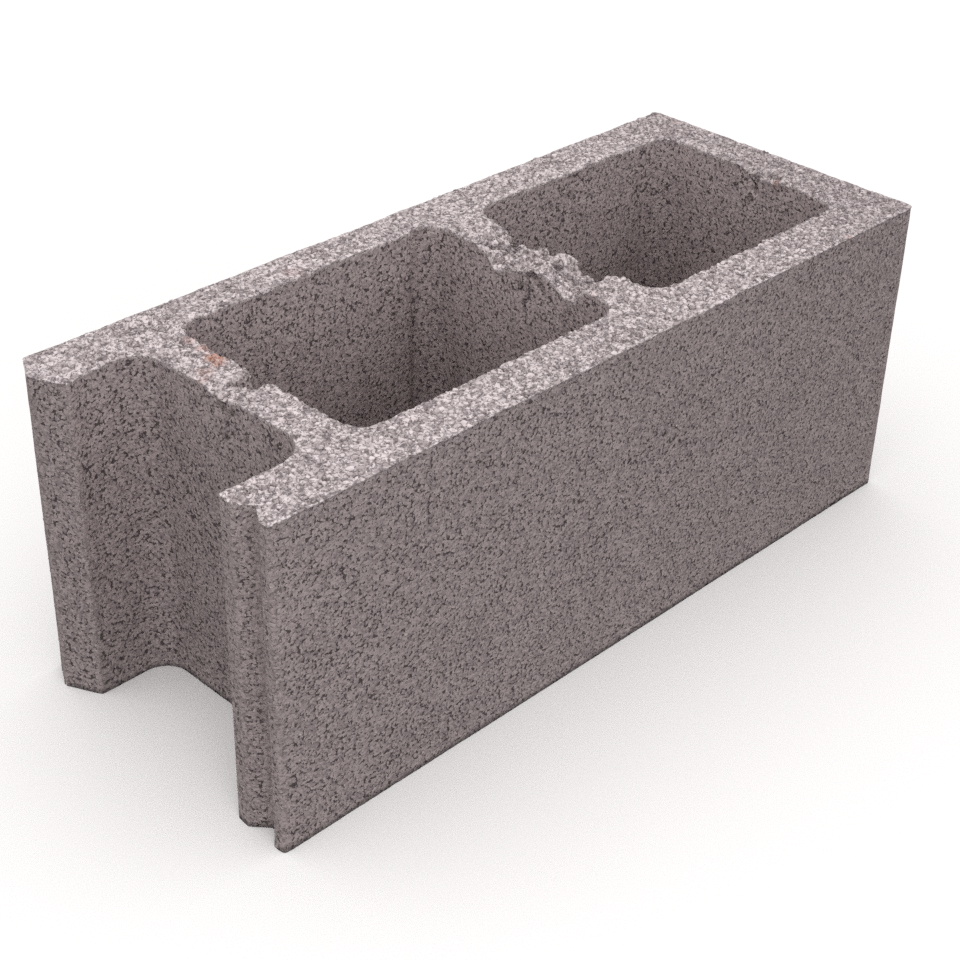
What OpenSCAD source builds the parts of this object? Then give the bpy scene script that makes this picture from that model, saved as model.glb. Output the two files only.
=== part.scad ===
// Hollow concrete building block, closed at one end and open at the other.
// Two through cells stand between the face shells; the open end is a shallow
// recess between two flanges, one ending in a tongue and one in a matching groove.
// Lengths in millimetres, +Z up, origin at the middle of the resting face.

/* [Body] */
// Overall length, from the ridge of the tongue to the flat closed end
body_l = 494; // [470:1:600]
// Overall width across the two face shells
body_w = 200; // [190:1:260]
// Overall height as it stands
body_h = 194; // [100:1:260]
// Rounding of the two upright corners at the closed end
corner_r = 4; // [1:0.5:10]

/* [Walls] */
// Thickness of the front face shell beside the cells, at the resting face
shell_front = 33; // [28:0.5:38]
// Thickness of the back face shell beside the cells, at the resting face
shell_back = 30; // [26:0.5:38]
// Thickness of the closed end wall at the resting face
end_wall = 32; // [24:0.5:45]
// Thickness of the web between the two cells at the resting face
web_mid = 33; // [24:0.5:45]
// Thickness of the web between the open recess and the first cell at the resting face
web_open = 31; // [22:0.5:45]
// Length of the second cell, next to the closed end, at the resting face
cell_l = 163; // [120:1:175]

// How far the second cell stands nearer to the front than the first
cell2_shift = 2; // [0:0.5:4]

/* [Open end] */
// Thickness of the front flange at the resting face
flange_front = 37; // [32:0.5:45]
// Thickness of the back flange at the resting face
flange_back = 38; // [32:0.5:45]
// Depth of the open recess from the ridge of the tongue, at the resting face
recess_depth = 55; // [35:1:75]
// How far the tongue stands out, and how deep the groove goes in
joint_depth = 9; // [5:0.5:12]
// Distance of the tongue ridge and of the groove from the face shell beside it
joint_inset = 17.5; // [14:0.5:20]
// Width of the groove at its mouth
groove_w = 20; // [12:0.5:22]
// How far the grooved flange stops short of the ridge of the tongue
groove_land = 1.5; // [0:0.5:4]
// Rounding of the tongue ridge and of the flange tips
tip_r = 2; // [0.5:0.5:4]

/* [Cells] */
// Radius of the upright corners inside the cells and the recess, at the resting face
cell_r = 15; // [6:0.5:25]
// How much wider the cells and the recess get on each side by the top face
core_draft = 2.5; // [0:0.25:5]
// Lean of the cells and the recess toward the back shell, in degrees
core_lean = 0.6; // [0:0.1:1.5]

/* [Worn top] */
// Width of the worn-down dip in the top of the middle web
dip_w = 72; // [30:1:90]
// Depth of the worn-down dip in the top of the middle web
dip_depth = 8; // [2:0.5:16]
// Width of the narrow cut in the top of the web by the open recess
cut_w = 5; // [2:0.5:12]
// Depth of the narrow cut below the top face
cut_depth = 9; // [3:0.5:20]
// Distance of the narrow cut from the middle of the width, toward the back
cut_off = 1.5; // [-5:0.5:5]

/* [Hidden] */
// Smoothness of the round surfaces
$fn = 96;
// Hair's breadth by which a rounding stays inside the flat faces it joins
seam = 0.05;
// Upright run of a core past the top and resting faces
core_past = 6;
// Widening of a core per millimetre of height
core_slope = core_draft / body_h;
// Ends of the cells and the recess along the length, measured from the tongue ridge
cell2_hi = body_l - end_wall;
cell2_lo = cell2_hi - cell_l;
cell1_hi = cell2_lo - web_mid;
cell1_lo = recess_depth + web_open;
// Half of the angle between the two flanks of the tongue
tongue_half = (atan(joint_inset / joint_depth)
    + atan((flange_back - joint_inset) / (joint_depth * 1.1))) / 2;
// Where the flanks of the tongue would meet, so that the rounded ridge is the end of the block
tongue_x = tip_r - seam - tip_r / sin(tongue_half);
// Outline of the block seen from above: along the length, across the width, rounding
outline = [
    [groove_land, 0, tip_r],
    [body_l, 0, corner_r],
    [body_l, body_w, corner_r],
    [joint_depth, body_w, tip_r],
    [tongue_x, body_w - joint_inset, tip_r],
    [joint_depth * 1.1, body_w - flange_back, 0],
    [groove_land, flange_front, 0],
    [groove_land, joint_inset + groove_w / 2, tip_r / 2],
    [groove_land + joint_depth, joint_inset, 0],
    [groove_land, joint_inset - groove_w / 2, tip_r / 2]
];

// Unit vector
function unit(v) = v / norm(v);
// Point of the outline by number, going round
function spot(i) = let (p = outline[(i + len(outline)) % len(outline)]) [p[0], p[1]];
// Half of the angle between the two edges meeting at a point
function half_angle(i) = acos(unit(spot(i - 1) - spot(i)) * unit(spot(i + 1) - spot(i))) / 2;
// Distance from the point to where its rounding starts
function run_in(i) = outline[i][2] / tan(half_angle(i));
// Centre of the rounding at a point
function round_at(i) = spot(i) + unit(unit(spot(i - 1) - spot(i)) + unit(spot(i + 1) - spot(i)))
    * outline[i][2] / sin(half_angle(i));

// Flat outline of the block with its rounded corners
module plan() {
    polygon([for (i = [0 : len(outline) - 1]) each outline[i][2] > 0 ? [
        spot(i) + unit(spot(i - 1) - spot(i)) * run_in(i),
        spot(i) + unit(spot(i + 1) - spot(i)) * run_in(i)
    ] : [spot(i)]]);
    for (i = [0 : len(outline) - 1])
        if (outline[i][2] > 0)
            translate(round_at(i)) circle(r = outline[i][2] - seam);
}

// Space left by one tapered core: straight walls and cone corners, wider at the top
module core(x_lo, x_hi, y_lo, y_hi) {
    lo = -core_past;
    hi = body_h + core_past;
    w_lo = core_slope * lo;
    w_hi = core_slope * hi;
    translate([0, body_w / 2, 0]) rotate([-core_lean, 0, 0]) translate([0, -body_w / 2, 0]) {
        translate([0, y_hi - cell_r, 0]) rotate([90, 0, 0]) linear_extrude(y_hi - y_lo - 2 * cell_r)
            polygon([[x_lo - w_lo, lo], [x_hi + w_lo, lo], [x_hi + w_hi, hi], [x_lo - w_hi, hi]]);
        translate([x_lo + cell_r, 0, 0]) rotate([90, 0, 90]) linear_extrude(x_hi - x_lo - 2 * cell_r)
            polygon([[y_lo - w_lo, lo], [y_hi + w_lo, lo], [y_hi + w_hi, hi], [y_lo - w_hi, hi]]);
        for (x = [x_lo + cell_r, x_hi - cell_r], y = [y_lo + cell_r, y_hi - cell_r])
            translate([x, y, lo]) rotate([0, 0, atan2((y_lo + y_hi) / 2 - y, (x_lo + x_hi) / 2 - x)])
                cylinder(h = hi - lo, r1 = cell_r + w_lo - seam, r2 = cell_r + w_hi - seam);
    }
}

// Round-bottomed dip across the top of the middle web
module dip() {
    dip_r = (dip_w * dip_w / 4 + dip_depth * dip_depth) / (2 * dip_depth);
    translate([cell1_hi - 12, body_w / 2, body_h - dip_depth + dip_r])
        rotate([0, 90, 0]) cylinder(h = web_mid + 24, r = dip_r, $fn = 180);
}

// Narrow cut across the top of the web by the open recess, on the side of the first cell
module cut() {
    translate([cell1_lo - web_open * 0.6, body_w / 2 - cut_w / 2 + cut_off, body_h - cut_depth])
        cube([web_open * 0.6 + cell_r, cut_w, cut_depth + core_past]);
}

// The whole block, one casting
module block() {
    color([0.51, 0.46, 0.46])
    translate([-body_l / 2, -body_w / 2, 0])
    difference() {
        linear_extrude(body_h) plan();
        core(-2 * recess_depth, recess_depth, flange_front, body_w - flange_back);
        core(cell1_lo, cell1_hi, shell_front, body_w - shell_back);
        core(cell2_lo, cell2_hi, shell_front - cell2_shift, body_w - shell_back - cell2_shift);
        dip();
        cut();
    }
}

block();
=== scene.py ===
"""Looks of a hollow concrete wall block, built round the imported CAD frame.

The casting is one closed mesh: moulded walls from upright rows of points, and a rough open-pored top face.
Loose-looking aggregate on the top is scattered by Geometry Nodes. Shapes are worked out in millimetres from
the low corner of the CAD box, x along the length, y across the width, z up, and turned to metres at the end.
"""

import math

import bpy
import numpy as np
from mathutils import Matrix, Vector
from mathutils.geometry import delaunay_2d_cdt


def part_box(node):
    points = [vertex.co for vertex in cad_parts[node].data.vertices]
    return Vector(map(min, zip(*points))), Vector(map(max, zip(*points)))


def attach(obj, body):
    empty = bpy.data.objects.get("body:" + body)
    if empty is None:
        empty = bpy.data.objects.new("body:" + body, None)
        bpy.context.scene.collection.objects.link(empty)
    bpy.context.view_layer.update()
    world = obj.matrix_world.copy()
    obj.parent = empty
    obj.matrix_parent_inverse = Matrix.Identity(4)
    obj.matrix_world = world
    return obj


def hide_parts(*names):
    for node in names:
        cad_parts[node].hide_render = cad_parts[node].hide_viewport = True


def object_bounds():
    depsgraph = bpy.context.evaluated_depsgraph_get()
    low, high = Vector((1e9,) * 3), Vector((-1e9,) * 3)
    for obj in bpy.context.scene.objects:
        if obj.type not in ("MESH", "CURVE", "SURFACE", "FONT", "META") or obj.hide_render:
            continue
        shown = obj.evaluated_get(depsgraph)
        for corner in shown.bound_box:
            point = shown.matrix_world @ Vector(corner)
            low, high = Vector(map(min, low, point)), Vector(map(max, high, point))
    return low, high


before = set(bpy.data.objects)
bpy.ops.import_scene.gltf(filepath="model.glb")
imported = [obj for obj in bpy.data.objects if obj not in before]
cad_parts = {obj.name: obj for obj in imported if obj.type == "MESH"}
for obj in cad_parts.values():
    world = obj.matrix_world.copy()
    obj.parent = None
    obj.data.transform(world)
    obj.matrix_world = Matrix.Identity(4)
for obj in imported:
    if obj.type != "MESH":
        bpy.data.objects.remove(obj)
cad_low, cad_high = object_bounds()

MM = 0.001
corner_low, corner_high = (np.array(c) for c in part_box("block"))
LENGTH, WIDTH, HEIGHT = (corner_high - corner_low) / MM

# ---------------------------------------------------------------- sizes of the casting, mm
WALL_STEP = 4.2          # spacing of the points on the moulded walls
FINE = 3                 # times closer together round the top edge
TOP_STEP = 1.2           # spacing of the points on the top face
BASE_STEP = 9.0          # spacing of the points on the resting face
TOP_LEVEL = HEIGHT - 1.2 # bed of the top face, below its highest grains
BAND_OUTSIDE = 9.0       # depth of the finely divided band below the top, outside
BAND_INSIDE = 27.0       # the same inside the cells and the recess
BAND_ROWS = 11           # rows of points in that band
ZENITH = 1.75            # strength of the sky overhead
HORIZON = 0.2            # the same at the horizon
BELOW = 0.04             # and from below
LAMP_POWER = 2.5         # watts of the large soft lamp before the open end
INSET = 0.35             # moulded faces stand this far inside the true size, and their grains fill it
MARGIN = 0.1             # least distance of any point from the sides and the top of the CAD box
GRAIN = 2.7              # spacing of the grains in the bed of the top face
GRAIN_SALT = 41          # and the number that fixes their pattern
SHARP = 5.0              # a corner rounded by less than this counts as an arris
WEB_MIDDLE = 282.0       # middle of the crumbled web along the block
WEB_HALF = 14.5          # half of its thickness

# Places, m
LAMP_PLACE = (-0.75, -0.95, 0.55)
LAMP_AIM = (-0.1, 0.0, 0.1)
CAMERA_PLACE = (-0.66335, -0.63434, 0.65211)
FLOOR_HALF = 400.0

# Corners of each outline seen from above: along, across, rounding, then how far the corner has moved
# along and across by the top face. The outside runs one way round and the cells the other.
OUTSIDE = [
    (1.5, 0, 2.5, 0, 0),
    (LENGTH, 0, 4, 0, 0),
    (LENGTH, WIDTH, 4, 0, 0),
    (9, WIDTH, 3, 0, 0),
    (-0.3, 182.5, 3, 0, 0),
    (9.9, 162, 1.5, 0, 0),
    (22, 162, 0, 0, 4.5),
    (55, 162, 15, 2, 4.5),
    (55, 98, 0, 3.5, 0),
    (55, 37, 21, 4.5, 0),
    (2, 37, 1.5, 0.5, -0.5),
    (1.5, 27.5, 1.2, -0.3, -1),
    (10, 17.8, 1.5, -0.7, 0),
    (1.5, 7.5, 1.2, -0.3, -1),
]
CELL_BY_RECESS = [
    (86, 33, 15, -3, -1),
    (86, 170, 15, -3, 4.5),
    (250, 170, 0, 0.5, 4.5),
    (250.8, 172.4, 0, 0.5, 4.6),
    (266, 172.4, 14, 2, 4.6),
    (266, 33, 15, 2, -1),
]
CELL_BY_END = [
    (299, 31, 15, -2.5, 0),
    (299, 168, 15, -2.5, 4),
    (462, 168, 15, 4, 1),
    (462, 115, 0, 3, 0),
    (462, 31, 15, -1.5, 0),
]

# The crumbled middle web: across, then how far its edge has gone down, on either side
WORN_CELL_SIDE = [(52, 0), (58, 2), (64, 8), (72, 10), (80, 5), (87, 1), (96, 2), (108, 6), (119, 11),
                  (127, 10), (131, 5), (138, 1), (144, 0)]
WORN_END_SIDE = [(46, 0), (56, 0), (65, 5), (72, 11), (84, 10), (90, 2), (97, 1), (104, 6), (110, 7),
                 (126, 6), (138, 4), (148, 1), (156, 0)]

# Spots where grains have fallen out: along, across, up, radius, depth
FALLEN_OUT = [
    # inner side of the end wall
    (465, 95.5, 189, 3.6, 4.5), (465, 94.5, 181, 3.0, 3.5), (465, 97, 173.5, 2.6, 3.0),
    # crumbled top of the middle web
    (284.3, 93, 189, 3.4, 3.5), (282, 87.5, 188, 3.6, 4.5), (283, 84, 187, 3.0, 3.0),
    (298.5, 143, 187, 3.4, 2.6), (296.5, 136, 187, 4.2, 2.6), (291, 129, 187, 4.6, 2.8),
    (293, 134, 187, 3.6, 2.4),
    # back of the recess
    (57, 87, 173, 2.4, 1.4), (57, 109, 191, 2.2, 2.0),
]
# Cracks where grains have come away in a line: half width, depth, then points along, across, up
CRACKS = [
    # side of the middle web towards the first cell
    (1.9, 2.6, [(267, 97, 190), (267, 100, 186), (267, 99.6, 180), (267, 98.6, 175), (267, 102.5, 169)]),
    (1.5, 2.0, [(267, 99.6, 180), (267, 105, 178), (267, 107, 175)]),
    (1.6, 2.2, [(267, 96, 189), (267, 90, 185), (267, 88, 181)]),
    # back of the recess, under the notch
    (2.1, 2.2, [(57, 99, 195), (57, 103, 189), (57, 106, 184)]),
    (1.9, 2.0, [(57, 105, 186), (57, 101, 182), (57, 96, 185)]),
    (1.7, 1.8, [(57, 102, 181), (57, 101, 171), (57, 104, 167)]),
    # wall of the first cell, down from the notch
    (1.5, 1.6, [(84, 111, 186), (84, 113, 182), (84, 112, 177)]),
]
# The same across the crumbled top of the middle web: half width, depth, then points along, across
TOP_CRACKS = [
    (2.4, 3.0, [(274, 119), (281, 118), (290, 117.5), (298, 116)]),
    (2.3, 2.8, [(271, 109), (277, 105), (283, 99), (285, 92)]),
    (2.2, 2.6, [(290, 126), (284, 130), (277, 133), (272, 139)]),
    (2.1, 2.4, [(288, 82), (293, 76), (297, 68)]),
    (2.1, 2.4, [(276, 90), (274, 82), (278, 74)]),
]
# Rust and ochre on the grains: along, across, up, radius, strength
RUST = [
    # web by the recess
    (80, 135, 194, 6.0, 0.75), (76, 129, 194, 4.0, 0.6), (81, 146, 194, 5.0, 0.35),
    (82, 158, 194, 5.0, 0.25), (66, 126, 194, 5.0, 0.25), (60, 121, 194, 3.0, 0.2),
    # single grains elsewhere
    (168, 180, 194, 6.0, 0.12), (464.5, 79, 190, 2.2, 0.7), (270, 53, 192, 2.0, 0.5),
    (430, 2, 193, 2.0, 0.4), (488, 179, 194, 1.6, 0.8),
]


# ---------------------------------------------------------------- patterns in space, all seeded
def lattice(ix, iy, iz, salt):
    """A fixed random number from 0 to 1 for each whole-numbered place."""
    mixed = (ix.astype(np.int64) * 374761393 + iy.astype(np.int64) * 668265263
             + iz.astype(np.int64) * 2246822519 + salt * 3266489917) & 0xFFFFFFFF
    mixed = ((mixed ^ (mixed >> 15)) * 2654435761) & 0xFFFFFFFF
    mixed = ((mixed ^ (mixed >> 13)) * 1274126177) & 0xFFFFFFFF
    return (mixed ^ (mixed >> 16)) / 0xFFFFFFFF


def swell(points, size, salt):
    """Smooth unevenness from -1 to 1, with humps about size mm across."""
    scaled = points / size
    whole = np.floor(scaled)
    part = scaled - whole
    part = part * part * (3 - 2 * part)
    total = np.zeros(len(points))
    for corner in range(8):
        step = np.array([corner & 1, corner >> 1 & 1, corner >> 2 & 1])
        weight = np.prod(np.where(step, part, 1 - part), axis=1)
        total += weight * lattice(*(whole + step).T, salt)
    return total * 2 - 1


def packed_grains(points, size, salt):
    """Distance to the nearest of a packing of grains, in grain sizes, and that grain's own random number."""
    scaled = points / size
    whole = np.floor(scaled)
    nearest = np.full(len(points), 9.0)
    number = np.zeros(len(points))
    for dx in (-1, 0, 1):
        for dy in (-1, 0, 1):
            for dz in (-1, 0, 1):
                cell = whole + (dx, dy, dz)
                centre = cell + np.stack([lattice(*cell.T, salt + k) for k in range(3)], axis=1)
                gap = np.linalg.norm(centre - scaled, axis=1)
                closer = gap < nearest
                nearest = np.where(closer, gap, nearest)
                number = np.where(closer, lattice(*cell.T, salt + 7), number)
    return nearest, number


def ease(value):
    """Smooth step from 0 to 1 over the same range of value."""
    value = np.clip(value, 0, 1)
    return value * value * (3 - 2 * value)


# ---------------------------------------------------------------- outlines and heights
def unit(vectors):
    """Each vector at a length of 1."""
    return vectors / np.linalg.norm(vectors, axis=-1, keepdims=True)


def ring(corners, share, fineness):
    """Points round an outline, at the resting face (share 0) or the top face (share 1), and its arrises."""
    base = np.array([c[:2] for c in corners], float)
    radii = np.array([c[2] for c in corners], float)
    moved = base + share * np.array([c[3:] for c in corners], float)

    def fillets(spots):
        """Start, end, centre and turn of the rounding at each corner."""
        to_last = unit(np.roll(spots, 1, axis=0) - spots)
        to_next = unit(np.roll(spots, -1, axis=0) - spots)
        half = np.arccos(np.clip((to_last * to_next).sum(1), -1, 1)) / 2
        run = (radii / np.tan(half))[:, None]
        middle = spots + unit(to_last + to_next + 1e-12) * (radii / np.sin(half))[:, None]
        turn = (math.pi - 2 * half) * -np.sign(np.cross(to_last, to_next))
        return spots + to_last * run, spots + to_next * run, middle, turn

    start, end, middle, turn = fillets(moved)
    start_0, end_0, _, turn_0 = fillets(base)
    points, arris = [], []
    for i, radius in enumerate(radii):
        after = (i + 1) % len(corners)
        if radius > 0:
            count = max(3, math.ceil(abs(turn_0[i]) * radius / WALL_STEP)) * fineness
            first = math.atan2(*(start[i] - middle[i])[::-1])
            angles = first + turn[i] * np.arange(count) / count
            points.append(middle[i] + radius * np.stack([np.cos(angles), np.sin(angles)], axis=1))
            arris.append(np.full(count, float(radius < SHARP)))
        count = max(1, math.ceil(np.linalg.norm(start_0[after] - end_0[i]) / WALL_STEP)) * fineness
        share_along = (np.arange(count) / count)[:, None]
        points.append(end[i] + (start[after] - end[i]) * share_along)
        arris.append(np.zeros(count))
        arris[-1][0] = float(0 < radius < SHARP)
    return np.concatenate(points), np.concatenate(arris)


def notch_depth(x, y):
    """Depth of the broken notch in the web by the recess: steep on its far side, wider towards the recess."""
    flat = np.stack([x, y, np.zeros_like(x)], axis=1)
    far_edge = 110.5 + 0.8 * swell(flat, 6, 16)
    near_edge = 96.5 + 13 * ease((74 - x) / 10) + 0.8 * swell(flat, 5, 17)
    reach = ease((x - 58) / 16) * ease((100 - x) / 5)
    return 10 * reach * ease((far_edge - y) / 1.3) * ease((y - near_edge) / 2)


def top_height(x, y):
    """Height of the bed of the top face, with its worn and broken places."""
    flat = np.stack([x, y, np.zeros_like(x)], axis=1)
    height = TOP_LEVEL + 0.35 * swell(flat, 34, 3) + 0.25 * swell(flat, 11, 5)

    # the middle web, crumbled on both edges and hollow between
    across = np.clip((x - WEB_MIDDLE) / WEB_HALF, -1, 1)
    ragged = y + 1.6 * swell(flat, 5, 11)
    cell_side = np.interp(ragged, *zip(*WORN_CELL_SIDE))
    end_side = np.interp(ragged, *zip(*WORN_END_SIDE))
    worn = cell_side + (end_side - cell_side) * ease(across / 2 + 0.5)
    near_web = ease((WEB_HALF + 12 - abs(x - WEB_MIDDLE)) / 6)
    rubble = 1.4 * swell(flat, 4.5, 13) + 1.2 * swell(flat, 9, 14)
    height -= near_web * (worn + rubble * ease(worn / 3))
    # a deep hole, a ridge that was left standing, and a sunken place on that web
    deep_hole = np.hypot((x - 284) / 5, (y - 87) / 6)
    height -= 5 * ease(1.3 - deep_hole)
    ridge = abs(y - (115 - 0.15 * (x - 279))) / 2.6
    height += 4.5 * ease(1.2 - ridge) * ease((x - 274) / 4) * ease((300 - x) / 3)
    sunken = np.hypot((x - 294) / 6, (y - 132) / 11)
    height -= 2.5 * ease(1.3 - sunken)

    height -= notch_depth(x, y)
    # crumbled edge of the same web over the recess
    crumbled = ease((y - 92) / 6) * ease((117 - y) / 6) * ease((68 - x) / 8) * ease((x - 40) / 5)
    height -= crumbled * (3 + 2 * swell(flat, 4, 18))

    # chipped inner edge of the end wall
    chip = ease((471 - x) / 4) * ease((x - 440) / 5) * ease((y - 74) / 5) * ease((105 - y) / 6)
    return height - 2.8 * chip


# ---------------------------------------------------------------- the casting
def closed_strip(lower, upper):
    """Triangles between two rows of points that go all the way round."""
    lower_next = np.roll(lower, -1)
    upper_next = np.roll(upper, -1)
    return np.concatenate([
        np.stack([lower, lower_next, upper_next], 1), np.stack([lower, upper_next, upper], 1)])


def widening_strip(coarse, fine):
    """The same, where the upper row has FINE (three) times as many points."""
    coarse_next = np.roll(coarse, -1)
    f0, f1, f2 = fine[0::FINE], fine[1::FINE], fine[2::FINE]
    f3 = np.roll(f0, -1)
    return np.concatenate([np.stack(t, 1) for t in (
        (coarse, f1, f0), (coarse, coarse_next, f1), (coarse_next, f2, f1), (coarse_next, f3, f2))])


def is_inside(points, outline):
    """Which points lie inside a closed outline seen from above."""
    inside = np.zeros(len(points), bool)
    x, y = points.T
    for (x0, y0), (x1, y1) in zip(outline, np.roll(outline, -1, axis=0)):
        if y0 != y1:
            crosses = ((y0 > y) != (y1 > y)) & (x < (x1 - x0) * (y - y0) / (y1 - y0) + x0)
            inside ^= crosses
    return inside


def rim_distance(points, rims):
    """Distance from each point to the nearest point of the rims, seen from above."""
    rim = np.concatenate(rims)
    return np.concatenate([
        np.sqrt(((part[:, None] - rim[None]) ** 2).sum(2).min(1)) for part in np.array_split(points, 60)])


def rim_distance_near_top(points, rims):
    """The same for the points in the top 30 mm, and far away for the rest."""
    gap = np.full(len(points), 99.0)
    near_top = points[:, 2] > HEIGHT - 30
    gap[near_top] = rim_distance(points[near_top, :2], rims)
    return gap


def fill(rims, step, salt):
    """Points and triangles that fill a face between its rims. The rims' own points come first."""
    rows = np.arange(0, WIDTH, step * math.sqrt(0.75))
    columns = np.arange(0, LENGTH, step)
    x, y = np.meshgrid(columns, rows)
    x = x + (np.arange(len(rows))[:, None] % 2) * step / 2
    grid = np.stack([x.ravel(), y.ravel(), np.zeros(x.size)], axis=1)
    shift = np.stack([swell(grid, step * 0.7, salt), swell(grid, step * 0.7, salt + 1)], axis=1)
    grid = grid[:, :2] + shift * step * 0.25
    keep = is_inside(grid, rims[0])
    for cell in rims[1:]:
        keep &= ~is_inside(grid, cell)
    grid = grid[keep]
    grid = grid[rim_distance(grid, rims) > step * 0.55]
    points = np.concatenate([*rims, grid])
    edges = []
    first = 0
    for rim in rims:
        count = len(rim)
        edges += [(first + i, first + (i + 1) % count) for i in range(count)]
        first += count
    result = delaunay_2d_cdt([Vector(p) for p in points], edges, [], 0, 1e-7)
    original = np.array([o[0] for o in result[3]])
    triangles = original[np.array(result[2])]
    middles = points[triangles].mean(1)
    keep = is_inside(middles, rims[0])
    for cell in rims[1:]:
        keep &= ~is_inside(middles, cell)
    return grid, triangles[keep]


def vertex_normals(points, triangles):
    """Mean direction of the faces round each point."""
    a, b, c = (points[triangles[:, k]] for k in range(3))
    facing = np.cross(b - a, c - a)
    total = np.zeros_like(points)
    for k in range(3):
        np.add.at(total, triangles[:, k], facing)
    return total / np.maximum(np.linalg.norm(total, axis=1, keepdims=True), 1e-9)


def casting_shape():
    """Points, triangles and masks of the whole casting, still smooth."""
    points, triangles, crust, arris = [], [], [], []
    count = 0

    def add(new_points, new_crust, new_arris):
        """Takes in more points and gives their numbers."""
        nonlocal count
        points.append(new_points)
        crust.append(np.broadcast_to(new_crust, len(new_points)))
        arris.append(np.broadcast_to(new_arris, len(new_points)))
        count += len(new_points)
        return np.arange(count - len(new_points), count)

    def at_height(low, high, z):
        """Points of an outline at height z, between its lower and upper shape."""
        z = np.broadcast_to(z, len(low))
        return np.column_stack([low + (high - low) * (z / HEIGHT)[:, None], z])

    rims, rim_rows, feet, foot_rows = [], [], [], []
    for corners in (OUTSIDE, CELL_BY_RECESS, CELL_BY_END):
        low, edge = ring(corners, 0, 1)
        high, _ = ring(corners, 1, 1)
        fine_low, fine_edge = ring(corners, 0, FINE)
        fine_high, _ = ring(corners, 1, FINE)
        top = top_height(*fine_high.T)
        in_recess = ease((fine_high[:, 0] - 8) / 12) * ease((66 - fine_high[:, 0]) / 4)
        in_recess *= ease((fine_high[:, 1] - 30) / 4) * ease((170 - fine_high[:, 1]) / 4)
        inner = in_recess if corners is OUTSIDE else np.ones(len(top))
        start = HEIGHT - BAND_OUTSIDE - (BAND_INSIDE - BAND_OUTSIDE) * inner
        levels = np.linspace(0, 1, 1 + round((HEIGHT - BAND_OUTSIDE) / WALL_STEP))
        row = None
        for level in levels:
            z = level * (start[::FINE] - WALL_STEP)
            last, row = row, add(at_height(low, high, z), 0, edge)
            if last is None:
                feet.append(points[-1][:, :2])
                foot_rows.append(row)
            else:
                triangles.append(closed_strip(last, row))
        for k in range(BAND_ROWS + 1):
            z = start + (top - start) * k / BAND_ROWS
            new_crust = np.exp((z - top) / 0.9)
            last, row = row, add(at_height(fine_low, fine_high, z), new_crust, fine_edge * (1 - new_crust))
            triangles.append(widening_strip(last, row) if k == 0 else closed_strip(last, row))
        rims.append(points[-1][:, :2])
        rim_rows.append(row)

    grid, faces = fill(rims, TOP_STEP, 21)
    rows = np.concatenate([*rim_rows, add(np.column_stack([grid, top_height(*grid.T)]), 1, 0)])
    triangles.append(rows[faces])
    grid, faces = fill(feet, BASE_STEP, 31)
    rows = np.concatenate([*foot_rows, add(np.column_stack([grid, np.zeros(len(grid))]), 0, 0)])
    triangles.append(rows[faces][:, ::-1])
    return *(np.concatenate(part) for part in (points, triangles, crust, arris)), rims


def hollow_share(points):
    """How far into a fallen-out spot each point lies, and how deep that spot goes."""
    share = np.zeros(len(points))
    depth = np.zeros(len(points))
    for *centre, radius, deep in FALLEN_OUT:
        here = ease(1.35 - np.linalg.norm(points - centre, axis=1) / radius)
        share = np.maximum(share, here)
        depth = np.maximum(depth, here * deep)
    crooked = points + np.stack([1.1 * swell(points, 2.6, 101 + k) for k in range(3)], axis=1)
    on_top = [(radius, deep, [(x, y, top_height(np.array([x]), np.array([y]))[0]) for x, y in line])
              for radius, deep, line in TOP_CRACKS]
    for radius, deep, line in CRACKS + on_top:
        for start, end in zip(np.array(line, float), np.array(line[1:], float)):
            along = ((crooked - start) @ (end - start) / ((end - start) ** 2).sum()).clip(0, 1)
            away = np.linalg.norm(crooked - start - along[:, None] * (end - start), axis=1)
            here = ease(1.35 - away / radius)
            share = np.maximum(share, here)
            depth = np.maximum(depth, here * deep)
    return share, depth


def weathered(points, triangles, crust, rims):
    """The casting's points with its relief: wavy walls, a bed of grains, eroded rims and fallen-out spots.
    Also how far each point is in such a spot, and how much of it takes loose grains."""
    out = vertex_normals(points, triangles)
    grain, number = packed_grains(points, GRAIN, GRAIN_SALT)
    lump, lump_number = packed_grains(points, 6.0, 51)
    bed = 0.95 * (0.4 + number) * (1 - (grain / 0.7) ** 2).clip(-0.8, 1)
    bed += 0.7 * (lump_number - 0.3) * (1 - (lump / 0.8) ** 2).clip(-0.4, 1)
    wall = -INSET + 0.3 * swell(points, 55, 61) + 0.12 * swell(points, 14, 62) + 0.1 * swell(points, 5, 63)
    outer_gap = rim_distance_near_top(points, rims[:1])
    bed *= 0.3 + 0.7 * ease(outer_gap / 6)
    relief = wall * (1 - crust) + bed * crust

    # rims lose a little of their edge, and more in places
    gap = np.minimum(outer_gap, rim_distance_near_top(points, rims[1:]))
    drop = (TOP_LEVEL - points[:, 2]).clip(0, None)
    rim = ease(1 - gap / 2.4) * ease(1 - drop / 3)
    loss = 0.5 + 0.6 * swell(points, 4, 71) + 0.6 * swell(points, 10, 72).clip(0, None)
    loss *= 0.35 + 0.65 * ease(outer_gap / 4)
    relief -= rim * loss.clip(0, None)

    share, depth = hollow_share(points)
    relief -= depth * (1 + 0.4 * swell(points, 3, 81))
    bed_share = crust * ease((gap - 0.6) / 0.8) * ease((outer_gap - 1.4) / 1.0)
    moved = points + out * relief[:, None]
    moved = moved.clip(MARGIN, (LENGTH - MARGIN, WIDTH - MARGIN, HEIGHT - MARGIN))
    moved[points[:, 2] == 0, 2] = 0
    return moved, share, bed_share


def struck_share(points, crust):
    """How much of the struck-off face's pale crust is left: none in the notch, little in fallen-out spots."""
    share, _ = hollow_share(points)
    return crust * (1 - ease(notch_depth(*points.T[:2]) / 0.8)) * (1 - 0.8 * share)


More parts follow.
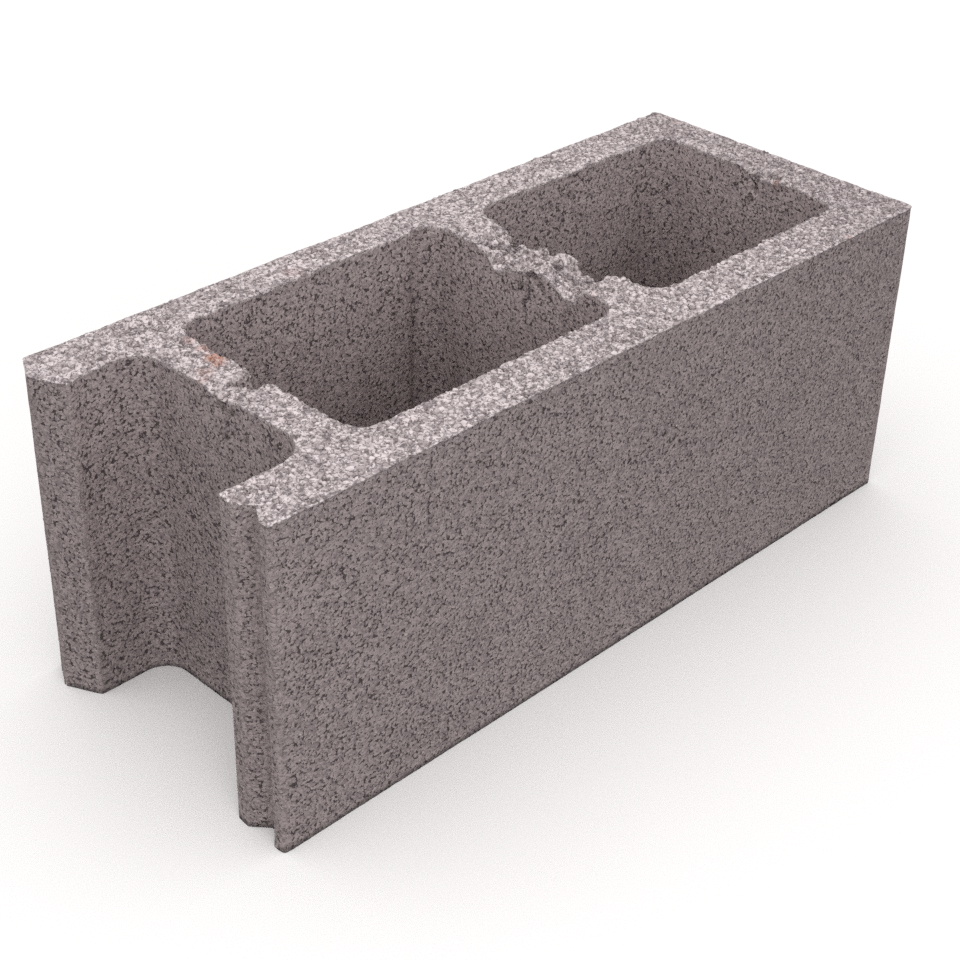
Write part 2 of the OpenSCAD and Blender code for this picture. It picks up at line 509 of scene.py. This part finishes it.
def rust_share(points):
    """How much rust or ochre colours each point."""
    share = np.zeros(len(points))
    for *centre, radius, strength in RUST:
        away = np.linalg.norm(points - centre, axis=1) + 1.5 * swell(points, 4, 91)
        share = np.maximum(share, strength * ease(1.4 - away / radius))
    return share


def painted_end_shade(points):
    """Painted shade: the struck-off face is made a little darker towards the closed end wall, for the light
    that falls off there.
    """
    return 1 - 0.3 * ease((points[:, 0] - 400) / 80)


def make_mesh(name, points, triangles):
    """A Blender mesh from points in mm from the low corner of the CAD box."""
    mesh = bpy.data.meshes.new(name)
    mesh.vertices.add(len(points))
    mesh.vertices.foreach_set("co", (corner_low + points * MM).astype(np.float32).ravel())
    mesh.loops.add(triangles.size)
    mesh.loops.foreach_set("vertex_index", triangles.ravel().astype(np.int32))
    mesh.polygons.add(len(triangles))
    mesh.polygons.foreach_set("loop_start", np.arange(0, triangles.size, 3, dtype=np.int32))
    mesh.polygons.foreach_set("use_smooth", np.ones(len(triangles), bool))
    mesh.update(calc_edges=True)
    mesh.validate()
    return mesh


def set_mask(mesh, name, values):
    """A number at each point of the mesh, for its material and for scattering."""
    layer = mesh.attributes.get(name) or mesh.attributes.new(name, "FLOAT", "POINT")
    layer.data.foreach_set("value", np.asarray(values, np.float32))


def mesh_points(mesh):
    """The points of a mesh, in mm from the low corner of the CAD box."""
    flat = np.zeros(len(mesh.vertices) * 3, np.float32)
    mesh.vertices.foreach_get("co", flat)
    return (flat.reshape(-1, 3).astype(float) - corner_low) / MM


def add_object(name, data):
    """An object of the scene, at the origin."""
    made = bpy.data.objects.new(name, data)
    bpy.context.scene.collection.objects.link(made)
    return made


def make_casting(finish):
    """The casting, with the masks that its material and the scattering read."""
    points, triangles, crust, arris, rims = casting_shape()
    points, hollow, bed = weathered(points, triangles, crust, rims)
    mesh = make_mesh("block_casting", points, triangles)
    _, number = packed_grains(points, GRAIN, GRAIN_SALT)
    struck = struck_share(points, crust)
    set_mask(mesh, "crust", struck)
    set_mask(mesh, "arris", arris)
    # the hollow mask carries painted shade into the fallen-out spots, the cracks and the notch
    set_mask(mesh, "hollow", np.maximum(hollow, 0.5 * ease(notch_depth(*points.T[:2]) / 1.5)))
    set_mask(mesh, "bed", bed * struck)
    in_web = ease((WEB_HALF - abs(points[:, 0] - WEB_MIDDLE)) / 3) * ease((points[:, 1] - 56) / 4)
    set_mask(mesh, "rubble", bed * struck * in_web * ease((150 - points[:, 1]) / 6))
    set_mask(mesh, "moulded", (1 - crust) * (1 - hollow) * (points[:, 2] > 1.5))
    # tone: each grain's own random tone, times painted shade that darkens the closed end
    set_mask(mesh, "tone", number * painted_end_shade(points))
    set_mask(mesh, "rust", rust_share(points))
    mesh.materials.append(finish)
    return add_object("block_casting", mesh)


# ---------------------------------------------------------------- node trees
def node(tree, kind, inputs=None, **settings):
    """Adds a node, with its settings, and with each input given as a value or as a socket to link from."""
    made = tree.nodes.new(kind)
    for name, value in settings.items():
        setattr(made, name, value)
    for name, value in (inputs or {}).items():
        if isinstance(value, bpy.types.NodeSocket):
            tree.links.new(value, made.inputs[name])
        else:
            made.inputs[name].default_value = value
    return made


def linear(code):
    """A colour given as sRGB hex, as the linear colour that shaders take."""
    parts = [int(code[i:i + 2], 16) / 255 for i in (1, 3, 5)]
    return (*(p / 12.92 if p <= 0.04045 else ((p + 0.055) / 1.055) ** 2.4 for p in parts), 1.0)


def per_metre(size_mm):
    """Scale of a texture node, on Object coordinates in metres, whose cells are size_mm across."""
    return 1 / (size_mm * MM)


def dry_cast_concrete():
    """Dry-cast concrete: an earth-moist mix of small aggregate, pressed and struck off at once.
    It gives an open, matt, sandy skin full of pinholes, and a pebbly face where it was struck off, paler
    partly from its broken grains and partly from painted light from above. Painted shade darkens its
    pinholes, joints, crevices and fallen-out hollows."""
    finish = bpy.data.materials.new("dry_cast_concrete")
    finish.use_nodes = True
    tree = finish.node_tree
    tree.nodes.clear()
    place = node(tree, "ShaderNodeTexCoord").outputs["Object"]
    crust, arris, hollow, tone, rust = (
        node(tree, "ShaderNodeAttribute", attribute_name=mask).outputs["Fac"]
        for mask in ("crust", "arris", "hollow", "tone", "rust"))
    smooth = {"interpolation_type": "SMOOTHSTEP"}
    tint = {"data_type": "RGBA", "blend_type": "MIX"}

    # uneven places, so that no grain is round
    wobble = node(tree, "ShaderNodeTexNoise", {"Vector": place, "Scale": per_metre(1.6), "Detail": 1.0})
    centred = node(tree, "ShaderNodeVectorMath", {0: wobble.outputs["Color"], 1: (0.5, 0.5, 0.5)},
                   operation="SUBTRACT").outputs[0]
    shift = node(tree, "ShaderNodeVectorMath", {0: centred, "Scale": 2.0 * MM}, operation="SCALE").outputs[0]
    uneven = node(tree, "ShaderNodeVectorMath", {0: place, 1: shift}, operation="ADD").outputs[0]
    # granules of grit coated with paste, nearly 2 mm across
    granule = node(tree, "ShaderNodeTexVoronoi", {"Vector": uneven, "Scale": per_metre(1.65)})
    granule_tone = node(tree, "ShaderNodeSeparateColor", {"Color": granule.outputs["Color"]}).outputs[0]
    # sand on and between them: 0.3 mm sand in 1 mm crumbs, drawn at the size of the crumbs so that it shows
    sand = node(tree, "ShaderNodeTexNoise", {
        "Vector": place, "Scale": per_metre(1.4), "Detail": 2.0, "Roughness": 0.6}).outputs["Fac"]
    # clouds in the mix, about 30 mm across
    cloud = node(tree, "ShaderNodeTexNoise", {
        "Vector": place, "Scale": per_metre(30), "Detail": 2.0, "Roughness": 0.5}).outputs["Fac"]

    # open joints: short crooked gaps left where the granules meet and the paste did not reach
    grit = node(tree, "ShaderNodeMath", {0: sand, 1: 0.5}, operation="SUBTRACT").outputs[0]
    grit = node(tree, "ShaderNodeMath", {0: grit, 1: 0.6}, operation="MULTIPLY").outputs[0]
    gap = node(tree, "ShaderNodeMath", {0: granule.outputs["Distance"], 1: grit},
               operation="SUBTRACT").outputs[0]
    meeting = node(tree, "ShaderNodeMapRange", {
        "Value": gap, "From Min": 0.65, "From Max": 0.78}, **smooth).outputs["Result"]
    pinhole = node(tree, "ShaderNodeMapRange", {
        "Value": sand, "From Min": 0.37, "From Max": 0.3}, **smooth).outputs["Result"]
    joint = node(tree, "ShaderNodeMath", {0: meeting, 1: pinhole}, operation="MAXIMUM").outputs[0]
    # crevices between the pebbles of the struck-off face, 3 to 4 mm apart
    pebble = node(tree, "ShaderNodeTexVoronoi", {"Vector": uneven, "Scale": per_metre(3.5)},
                  feature="DISTANCE_TO_EDGE")
    edge = node(tree, "ShaderNodeMapRange", {
        "Value": pebble.outputs["Distance"], "From Min": 0.13, "From Max": 0.04}, **smooth).outputs["Result"]
    bare = node(tree, "ShaderNodeMapRange", {
        "Value": sand, "From Min": 0.58, "From Max": 0.48}, **smooth).outputs["Result"]
    crevice = node(tree, "ShaderNodeMath", {0: edge, 1: bare}, operation="MULTIPLY").outputs[0]
    joint = node(tree, "ShaderNodeMix", {0: crust, 2: joint, 3: crevice}, data_type="FLOAT").outputs[0]
    # the arrises are closed up by the mould
    off_arris = node(tree, "ShaderNodeMapRange", {
        "Value": arris, "From Min": 0.2, "From Max": 1.0, "To Min": 1.0, "To Max": 0.5}, **smooth)
    open_joint = node(tree, "ShaderNodeMath", {0: joint, 1: off_arris.outputs["Result"]},
                      operation="MULTIPLY").outputs[0]

    # paste-coated granules of the moulded faces, and the paler broken ones of the struck-off face, whose
    # paleness is partly their own and partly painted light from above
    share = node(tree, "ShaderNodeMapRange", {"Value": granule_tone}, **smooth).outputs["Result"]
    moulded = node(tree, "ShaderNodeMix", {
        0: share, 6: linear("#998b8d"), 7: linear("#beb0af")}, **tint).outputs[2]
    share = node(tree, "ShaderNodeMapRange", {"Value": tone}, **smooth).outputs["Result"]
    struck = node(tree, "ShaderNodeMix", {
        0: share, 6: linear("#958a8b"), 7: linear("#dcd1d2")}, **tint).outputs[2]
    colour = node(tree, "ShaderNodeMix", {0: crust, 6: moulded, 7: struck}, **tint).outputs[2]
    # each coat: how much of it covers the rest, and its colour. The dark joint and hollow coats are painted
    # shade in pinholes, joints, crevices and hollows.
    pale_sand = node(tree, "ShaderNodeMapRange", {
        "Value": sand, "From Min": 0.56, "From Max": 0.7, "To Max": 0.35}, **smooth).outputs["Result"]
    dim_cloud = node(tree, "ShaderNodeMapRange", {
        "Value": cloud, "From Min": 0.35, "From Max": 0.65, "To Min": 0.05, "To Max": 0.0},
        **smooth).outputs["Result"]
    # painted shade: pinholes, open joints and crevices darkened, more on the moulded faces than on the
    # struck-off one
    joint_shade_strength = node(tree, "ShaderNodeMapRange", {
        "Value": crust, "To Min": 0.85, "To Max": 0.5}, **smooth).outputs["Result"]
    joint_painted_shade = node(tree, "ShaderNodeMath", {0: open_joint, 1: joint_shade_strength},
                      operation="MULTIPLY").outputs[0]
    pale_arris = node(tree, "ShaderNodeMath", {0: arris, 1: 0.15}, operation="MULTIPLY").outputs[0]
    # painted shade: fallen-out spots, cracks and the notch darkened, in crumbly patches
    hollow_shade_strength = node(tree, "ShaderNodeMapRange", {
        "Value": sand, "From Min": 0.58, "From Max": 0.42, "To Min": 0.25, "To Max": 0.9},
        **smooth).outputs["Result"]
    hollow_painted_shade = node(tree, "ShaderNodeMath", {0: hollow, 1: hollow_shade_strength},
                       operation="MULTIPLY").outputs[0]
    patchy = node(tree, "ShaderNodeMapRange", {
        "Value": sand, "From Min": 0.35, "From Max": 0.55, "To Min": 0.3}, **smooth).outputs["Result"]
    rusty = node(tree, "ShaderNodeMath", {0: rust, 1: patchy},
                 operation="MULTIPLY", use_clamp=True).outputs[0]
    for share, code in ((pale_sand, "#e4dcd9"), (dim_cloud, "#6b605d"), (joint_painted_shade, "#2f2628"),
                        (pale_arris, "#bab0ab"), (hollow_painted_shade, "#2b2426"), (rusty, "#b0714f")):
        colour = node(tree, "ShaderNodeMix", {0: share, 6: colour, 7: linear(code)}, **tint).outputs[2]

    # relief finer than the mesh: sand stands out and joints lie deep
    sunk = node(tree, "ShaderNodeMath", {0: 0.5, 1: sand}, operation="SUBTRACT").outputs[0]
    sunk = node(tree, "ShaderNodeMath", {0: sunk, 1: 0.8}, operation="MULTIPLY").outputs[0]
    sunk = node(tree, "ShaderNodeMath", {0: sunk, 1: joint}, operation="ADD").outputs[0]
    height = node(tree, "ShaderNodeMath", {0: sunk, 1: -1.0}, operation="MULTIPLY").outputs[0]
    bump = node(tree, "ShaderNodeBump", {"Strength": 0.7, "Distance": 0.8 * MM, "Height": height})
    rough = node(tree, "ShaderNodeMapRange", {
        "Value": sand, "From Min": 0.3, "From Max": 0.7, "To Min": 0.86, "To Max": 0.97}, **smooth)
    shader = node(tree, "ShaderNodeBsdfPrincipled", {
        "Base Color": colour, "Roughness": rough.outputs["Result"], "Normal": bump.outputs["Normal"]})
    shader.inputs["Specular IOR Level"].default_value = 0.35
    node(tree, "ShaderNodeOutputMaterial", {"Surface": shader.outputs["BSDF"]})
    return finish


def scattering_tree():
    """Geometry Nodes that strew grains over the casting where a mask allows, each partly sunk in it."""
    tree = bpy.data.node_groups.new("strewn_grains", "GeometryNodeTree")
    sockets = [("Host", "Geometry"), ("Spacing", "Float"), ("Smallest", "Float"), ("Largest", "Float"),
               ("Sunk", "Float"), ("Where", "String"), ("Seed", "Int"), ("Finish", "Material")]
    for name, kind in sockets:
        tree.interface.new_socket(name, in_out="INPUT", socket_type="NodeSocket" + kind)
    tree.interface.new_socket("Grains", in_out="OUTPUT", socket_type="NodeSocketGeometry")
    given = node(tree, "NodeGroupInput").outputs
    where = node(tree, "GeometryNodeInputNamedAttribute", {"Name": given["Where"]}, data_type="FLOAT")
    dense = node(tree, "ShaderNodeMath", {0: given["Spacing"], 1: -2.0}, operation="POWER")
    densest = node(tree, "ShaderNodeMath", {0: dense.outputs[0], 1: 2.0}, operation="MULTIPLY")
    strewn = node(tree, "GeometryNodeDistributePointsOnFaces", {
        "Mesh": given["Host"], "Distance Min": given["Spacing"], "Density Max": densest.outputs[0],
        "Density Factor": where.outputs["Attribute"], "Seed": given["Seed"]}, distribute_method="POISSON")
    grain = node(tree, "GeometryNodeMeshIcoSphere", {"Radius": 1.0, "Subdivisions": 1})
    size = node(tree, "FunctionNodeRandomValue", {"Seed": given["Seed"]}, data_type="FLOAT")
    rare = node(tree, "ShaderNodeMath", {0: size.outputs["Value"], 1: 2.5}, operation="POWER")
    radius = node(tree, "ShaderNodeMapRange", {
        "Value": rare.outputs[0], "To Min": given["Smallest"], "To Max": given["Largest"]})
    down = node(tree, "ShaderNodeMath", {0: radius.outputs["Result"], 1: given["Sunk"]}, operation="MULTIPLY")
    inward = node(tree, "ShaderNodeMath", {0: down.outputs[0], 1: -1.0}, operation="MULTIPLY")
    shift = node(tree, "ShaderNodeVectorMath", {0: strewn.outputs["Normal"], "Scale": inward.outputs[0]},
                 operation="SCALE")
    seated = node(tree, "GeometryNodeSetPosition", {
        "Geometry": strewn.outputs["Points"], "Offset": shift.outputs["Vector"]})
    squash = node(tree, "FunctionNodeRandomValue", {
        0: (0.75, 0.75, 0.6), 1: (1.25, 1.25, 1.1), "Seed": 5}, data_type="FLOAT_VECTOR")
    scale = node(tree, "ShaderNodeVectorMath", {
        0: squash.outputs["Value"], "Scale": radius.outputs["Result"]}, operation="SCALE")
    turn = node(tree, "FunctionNodeRandomValue", {1: (2 * math.pi,) * 3, "Seed": 9}, data_type="FLOAT_VECTOR")
    placed = node(tree, "GeometryNodeInstanceOnPoints", {
        "Points": seated.outputs["Geometry"], "Instance": grain.outputs["Mesh"],
        "Rotation": turn.outputs["Value"], "Scale": scale.outputs["Vector"]})
    shade = node(tree, "FunctionNodeRandomValue", {"Seed": 13}, data_type="FLOAT")
    toned = node(tree, "GeometryNodeStoreNamedAttribute", {
        "Geometry": placed.outputs["Instances"], "Name": "tone", "Value": shade.outputs["Value"]},
        domain="INSTANCE", data_type="FLOAT")
    real = node(tree, "GeometryNodeRealizeInstances", {"Geometry": toned.outputs["Geometry"]})
    finished = node(tree, "GeometryNodeSetMaterial", {
        "Geometry": real.outputs["Geometry"], "Material": given["Finish"]})
    node(tree, "NodeGroupOutput", {"Grains": finished.outputs["Geometry"]})
    return tree


def strew(name, host, tree, finish, crust, **inputs):
    """One mesh of grains over the host, from the scattering tree, kept inside the CAD box."""
    carrier = add_object(name + "_carrier", host.data.copy())
    modifier = carrier.modifiers.new("grains", "NODES")
    modifier.node_group = tree
    by_name = {item.name: item.identifier for item in tree.interface.items_tree if item.in_out == "INPUT"}
    for key, value in inputs.items():
        modifier[by_name[key]] = value
    modifier[by_name["Finish"]] = finish
    bpy.context.view_layer.update()
    evaluated = carrier.evaluated_get(bpy.context.evaluated_depsgraph_get())
    mesh = bpy.data.meshes.new_from_object(evaluated)
    carrier.modifiers.remove(modifier)
    bpy.data.objects.remove(carrier)
    mesh.name = name
    points = np.clip(mesh_points(mesh), MARGIN, (LENGTH - MARGIN, WIDTH - MARGIN, HEIGHT))
    mesh.vertices.foreach_set("co", (corner_low + points * MM).astype(np.float32).ravel())
    mesh.update()
    tones = np.zeros(len(points), np.float32)
    mesh.attributes["tone"].data.foreach_get("value", tones)
    # the grains' random tone, times painted shade that darkens the closed end
    set_mask(mesh, "tone", tones * painted_end_shade(points))
    set_mask(mesh, "crust", np.full(len(points), crust))
    set_mask(mesh, "rust", rust_share(points))
    return add_object(name, mesh)


# ---------------------------------------------------------------- the scene round it
def make_floor():
    """A wide pale floor. It takes the block's soft shadow and throws no light back at its sides."""
    mesh = bpy.data.meshes.new("floor")
    ground = float(cad_low.z)
    corners = [(x * FLOOR_HALF, y * FLOOR_HALF, ground) for x, y in ((-1, -1), (1, -1), (1, 1), (-1, 1))]
    mesh.from_pydata(corners, [], [(0, 1, 2, 3)])
    finish = bpy.data.materials.new("pale_matt_floor")
    finish.use_nodes = True
    shader = finish.node_tree.nodes["Principled BSDF"]
    shader.inputs["Base Color"].default_value = linear("#ededec")
    shader.inputs["Roughness"].default_value = 0.9
    mesh.materials.append(finish)
    floor = add_object("floor", mesh)
    floor.visible_diffuse = False
    floor.visible_shadow = False


def make_light():
    """Light of an overcast sky, brightest overhead and faint at the horizon, helped by a soft lamp."""
    world = bpy.data.worlds.new("soft_sky")
    world.use_nodes = True
    bpy.context.scene.world = world
    tree = world.node_tree
    tree.nodes.clear()
    place = node(tree, "ShaderNodeTexCoord").outputs["Generated"]
    up = node(tree, "ShaderNodeSeparateXYZ", {"Vector": place}).outputs["Z"]
    above = node(tree, "ShaderNodeMapRange", {
        "Value": up, "To Min": HORIZON, "To Max": ZENITH}).outputs["Result"]
    below = node(tree, "ShaderNodeMapRange", {"Value": up, "From Min": -0.04, "From Max": 0.0,
                                              "To Min": BELOW, "To Max": HORIZON}).outputs["Result"]
    is_above = node(tree, "ShaderNodeMath", {0: up, 1: 0.0}, operation="GREATER_THAN").outputs[0]
    strength = node(tree, "ShaderNodeMix", {0: is_above, 2: below, 3: above}, data_type="FLOAT").outputs[0]
    sky = node(tree, "ShaderNodeBackground", {"Color": linear("#fffdfd"), "Strength": strength})
    node(tree, "ShaderNodeOutputWorld", {"Surface": sky.outputs["Background"]})
    # a large soft lamp before the open end, so that the far end is a little darker
    lamp = bpy.data.lights.new("soft_lamp", "AREA")
    lamp.shape = "DISK"
    lamp.size = 0.6
    lamp.energy = LAMP_POWER
    softbox = add_object("soft_lamp", lamp)
    softbox.visible_camera = False
    aim = (Vector(LAMP_AIM) - Vector(LAMP_PLACE)).to_track_quat("-Z", "Y").to_matrix().to_4x4()
    softbox.matrix_world = Matrix.Translation(LAMP_PLACE) @ aim


def make_camera():
    """Stands to the left of the open end, in front, and looks down on the block along its diagonal."""
    data = bpy.data.cameras.new("camera")
    data.sensor_width = 36.0
    data.lens = 70.56
    data.clip_start = 0.01
    data.clip_end = 2000.0
    camera = add_object("camera", data)
    heading, down, roll = (math.radians(a) for a in (45.75, 32.72, 1.358))
    turned = Matrix.Rotation(-heading, 4, "Z") @ Matrix.Rotation(math.pi / 2 - down, 4, "X")
    turned = turned @ Matrix.Rotation(roll, 4, "Z")
    camera.matrix_world = Matrix.Translation(CAMERA_PLACE) @ turned
    bpy.context.scene.camera = camera


finish = dry_cast_concrete()
casting = make_casting(finish)
scattering = scattering_tree()
top_grit = strew("top_grit", casting, scattering, finish, 1.0,
                 Spacing=2.1 * MM, Smallest=0.95 * MM, Largest=2.6 * MM, Sunk=0.25, Where="bed", Seed=7)
web_rubble = strew("web_rubble", casting, scattering, finish, 0.9,
                   Spacing=4.6 * MM, Smallest=1.7 * MM, Largest=3.6 * MM, Sunk=0.45, Where="rubble", Seed=27)
face_grit = strew("face_grit", casting, scattering, finish, 0.25,
                  Spacing=6.6 * MM, Smallest=0.8 * MM, Largest=1.6 * MM, Sunk=0.7, Where="moulded", Seed=17)
for piece in (casting, top_grit, web_rubble, face_grit):
    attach(piece, "root")
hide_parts("block")
make_floor()
make_light()
make_camera()
bpy.context.scene.view_settings.view_transform = "Standard"
# the denoiser takes the concrete's fine grain for noise and smears it into streaks
bpy.context.scene.cycles.use_denoising = False
